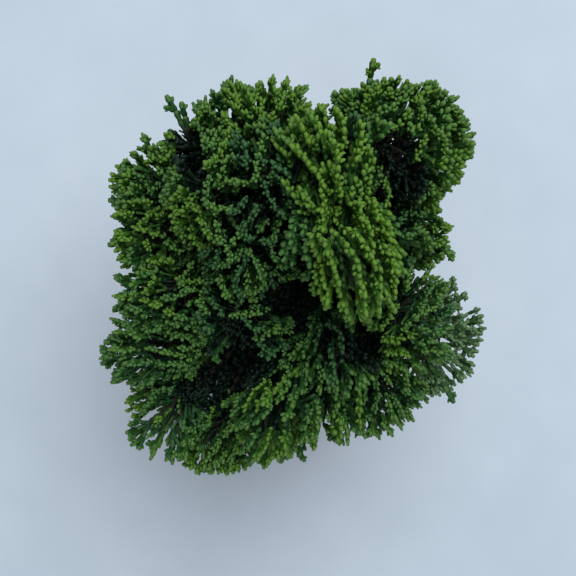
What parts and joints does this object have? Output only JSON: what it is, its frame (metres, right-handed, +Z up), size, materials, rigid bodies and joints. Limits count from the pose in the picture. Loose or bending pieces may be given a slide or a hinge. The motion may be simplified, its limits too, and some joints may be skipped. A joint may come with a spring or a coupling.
{
  "type": "potted dwarf conifer",
  "caption": "Dwarf conifer with fan-shaped sprays of scale leaves on short boughs, growing in a plain round tapered pot.",
  "frame": {"origin": "middle of the pot's flat underside, on the surface that it stands on", "axes": "+Z up along the pot's axis; +X to the right of the picture, which looks straight down; +Y to its top edge"},
  "size_m": [0.1688, 0.1751, 0.2671],
  "materials": {
    "clay": "matte",
    "mix": "matte",
    "bark": "matte",
    "bright": "satin",
    "fresh": "satin",
    "deep": "satin"
  },
  "bodies": {
    "root": {"pot": "clay", "potting_mix": "mix", "trunk": "bark", "bough_back": "bark", "bough_back_left": "bark", "bough_back_right": "bark", "bough_back_sprig": "bark", "bough_crest_back": "bark", "bough_far_right": "bark", "bough_front": "bark", "bough_front_inner": "bark", "bough_front_left": "bark", "bough_front_right": "bark", "bough_inner_right": "bark", "bough_heart_left": "bark", "bough_left": "bark", "bough_left_back": "bark", "bough_left_front": "bark", "bough_left_middle": "bark", "bough_left_sprig": "bark", "bough_open_corner": "bark", "bough_right": "bark", "bough_right_front": "bark", "bough_under_back": "bark", "bough_under_back_right": "bark", "crest": "bright", "crest_back": "bright", "back": "fresh", "back_left": "fresh", "back_right": "fresh", "back_sprig": "fresh", "far_right": "fresh", "front": "fresh", "front_inner": "fresh", "front_left": "fresh", "front_right": "fresh", "left": "fresh", "left_back": "fresh", "left_front": "fresh", "left_middle": "fresh", "left_sprig": "fresh", "right": "fresh", "right_front": "fresh", "under_back": "fresh", "under_back_right": "fresh", "low_back": "fresh", "low_back_left": "fresh", "low_front": "fresh", "low_front_left": "fresh", "low_front_right": "fresh", "low_left": "fresh", "low_right": "fresh", "heart": "deep", "heart_back": "deep", "heart_left": "fresh", "heart_right": "deep", "inner_left": "deep", "inner_right": "deep", "open_corner": "deep"}
  },
  "joints": []
}
